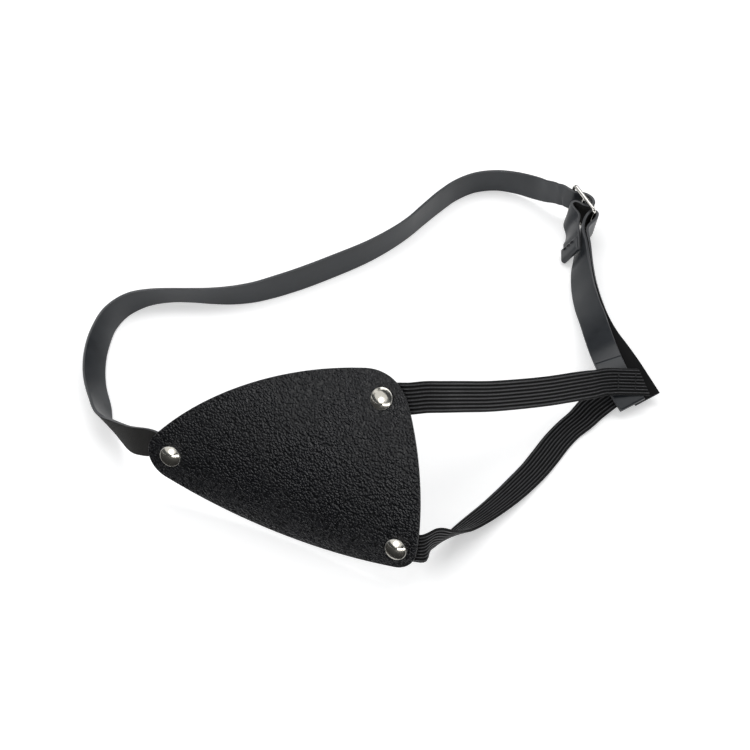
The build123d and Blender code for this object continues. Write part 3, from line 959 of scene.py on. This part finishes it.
# ---- elastics ---------------------------------------------------------------------------------------
# stations x, y, z, lean
upper_flight = [
    (15.0, -77.2, 52.6, 127), (20.6, -73.6, 49.4, 124), (27.4, -67.2, 43.6, 122), (36.0, -59.9, 37.0, 121),
    (45.0, -52.3, 30.8, 121), (58.0, -41.5, 22.6, 122), (68.2, -33.0, 16.8, 128), (73.4, -28.9, 14.0, 137),
    (77.2, -25.6, 11.8, 147),
]
lower_flight = [
    (17.4, -101.4, 13.4, 88), (21.0, -97.6, 10.5, 62), (24.1, -93.8, 8.0, 44), (26.6, -90.3, 6.0, 33),
    (29.6, -86.2, 4.3, 25), (33.0, -81.8, 2.9, 20), (38.2, -75.9, 2.0, 15), (43.3, -69.9, 1.5, 9),
    (48.2, -63.6, 1.1, 4), (53.0, -57.0, 0.8, 2), (57.5, -49.8, 0.65, 0), (61.8, -42.8, 0.65, 0),
    (66.2, -37.2, 0.9, -2), (70.4, -33.4, 1.8, -8),
]
upper_lap = [at_joint(10.3, -6.3, 4.1), at_joint(8.2, -1.6, 3.0), at_joint(5.1, 4.3, 2.4)]
lower_lap = [at_joint(6.0, -16.0, 0.0), at_joint(7.3, -8.5, 0.0), at_joint(8.6, -1.3, 0.0)]
upper_lap_across = joint_across * 0.56 - joint_way * 0.83
lower_lap_across = joint_across * 0.18 + joint_way * 0.98
elastic_section = elastic_profile(elastic_width, elastic_thick)


def make_elastic(name, place_name, turn, stations, lap, lap_across, nodes, slant=0.0):
    """Elastic from its rounded end behind the panel to the joint."""
    distances = tab_distances[:-1]
    ends = [end_station(place_name, turn, d) for d in distances]
    free_distance = 7.6
    free_depth = strap_middle + 0.4
    free = end_station(place_name, turn, free_distance, free_depth)
    mids, mid_widths = leaning_route(stations)
    points = [p for p, w in ends[-2:]] + [free[0]] + mids + lap
    widths = [w for p, w in ends[-2:]] + [free[1]] + mid_widths + [lap_across] * len(lap)
    points, widths = even_steps(points, widths, pitch=0.8)
    slim = [round_end(d) for d in distances[:-2]] + [1.0] * len(points)
    points = [p for p, w in ends[:-2]] + points
    widths = [w for p, w in ends[:-2]] + widths
    piece = ribbon(name, points, widths, elastic_section, braid, slim, slant=slant)
    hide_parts(*nodes)
    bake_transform(piece)


make_elastic(
    "elastic_upper", "upper", upper_turn, upper_flight, upper_lap, upper_lap_across,
    ("upper_elastic_end", "upper_elastic"), slant=-0.36,
)
make_elastic(
    "elastic_lower", "lower", lower_turn, lower_flight, lower_lap, lower_lap_across,
    ("lower_elastic_end", "lower_elastic"),
)

# ---- sewing at the joint --------------------------------------------------------------------------
sew_rows = []
half_row = upper_lap_across * stitch_row_half
for back, sideways, height in ((9.4, -3.8, 3.5), (6.6, 1.6, 2.7)):
    middle = at_joint(back, sideways, height + elastic_thick / 2)
    sew_rows.append((middle - half_row, middle + half_row, joint_out))
joint_thread = stitches("joint_thread", sew_rows)
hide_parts("joint_stitching")
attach(joint_thread, "band")

# ---- floor, light and camera ------------------------------------------------------------------------
floor_mesh = bpy.data.meshes.new("floor")
floor_half = 4.0
floor_z = -0.00005
floor_signs = ((-1, -1), (1, -1), (1, 1), (-1, 1))
floor_corners = [(floor_half * x, floor_half * y, floor_z) for x, y in floor_signs]
floor_mesh.from_pydata(floor_corners, [], [(0, 1, 2, 3)])
floor = bpy.data.objects.new("floor", floor_mesh)
bpy.context.scene.collection.objects.link(floor)
paint = Shader("floor_white", (0.86, 0.86, 0.86), 0.9)
paint.main.inputs["Specular IOR Level"].default_value = 0.0
paint.main.inputs["Emission Color"].default_value = (1, 1, 1, 1)
paint.main.inputs["Emission Strength"].default_value = 0.42
floor_mesh.materials.append(paint.material)

bpy.context.scene.view_settings.view_transform = "Standard"
world = bpy.data.worlds.new("studio")
bpy.context.scene.world = world
world.use_nodes = True
world.node_tree.nodes["Background"].inputs["Color"].default_value = (0.86, 0.93, 1, 1)
world.node_tree.nodes["Background"].inputs["Strength"].default_value = 0.07


def softbox(name, at, aim, size, power, shape="RECTANGLE"):
    """Area light, in metres, that the camera doesn't see."""
    data = bpy.data.lights.new(name, "AREA")
    data.shape = shape
    data.size, data.size_y = size
    data.energy = power
    lamp = bpy.data.objects.new(name, data)
    lamp.location = at
    lamp.rotation_mode = "QUATERNION"
    lamp.rotation_quaternion = (Vector(aim) - Vector(at)).to_track_quat("-Z", "Y")
    lamp.visible_camera = False
    bpy.context.scene.collection.objects.link(lamp)


softbox("top", (0.15, 0.45, 1.3), (0, 0.05, 0), (1.8, 1.0), 13.0)
softbox("right", (1.2, 0.3, 0.6), (0, 0, 0), (0.8, 0.9), 3.4)
softbox("left", (-1.4, 0.5, 0.8), (0, 0, 0), (0.6, 0.9), 1.5)
softbox("window", (-0.66, -0.66, 0.86), (-0.02, -0.08, 0.04), (2.3, 1.3), 6.0, "ELLIPSE")
softbox("front", (-0.24, -0.44, 0.26), (0.03, -0.09, 0.035), (0.3, 0.3), 0.5, "ELLIPSE")
softbox("low_front", (0.0, -1.35, 0.16), (0, 0, 0.02), (1.0, 0.22), 3.2)
softbox("back_left", (-0.75, 1.05, 0.30), (0, 0, 0.0), (0.6, 0.35), 1.1)

# the room in front of the object is dark: a card seen only in reflections
card_mesh = bpy.data.meshes.new("dark_card")
card_line = [Vector((-0.5, 0.165, 0.0004)), Vector((1.5, -0.903, 0.0004))]
card_depth = 2.5
away = Vector((-0.47, -0.88, 0)) * card_depth
card_corners = card_line + [card_line[1] + away, card_line[0] + away]
card_mesh.from_pydata(card_corners, [], [(0, 1, 2, 3)])
card = bpy.data.objects.new("dark_card", card_mesh)
bpy.context.scene.collection.objects.link(card)
card_paint = Shader("dark_card", (0.02, 0.02, 0.02), 0.9)
card_mesh.materials.append(card_paint.material)
card.visible_camera = False
card.visible_diffuse = False
card.visible_shadow = False
card.visible_transmission = False

camera_data = bpy.data.cameras.new("camera")
camera_data.sensor_width = 36.0
camera_data.lens = 92.6
camera = bpy.data.objects.new("camera", camera_data)
camera_spot = Vector((-0.5, -516.9, 457.8))
camera_aim = Vector((-0.5, -8.5, 0.0))
camera.location = place(camera_spot)
target = place(camera_aim)
camera.rotation_mode = "QUATERNION"
camera.rotation_quaternion = (target - camera.location).to_track_quat("-Z", "Y")
bpy.context.scene.collection.objects.link(camera)
bpy.context.scene.camera = camera
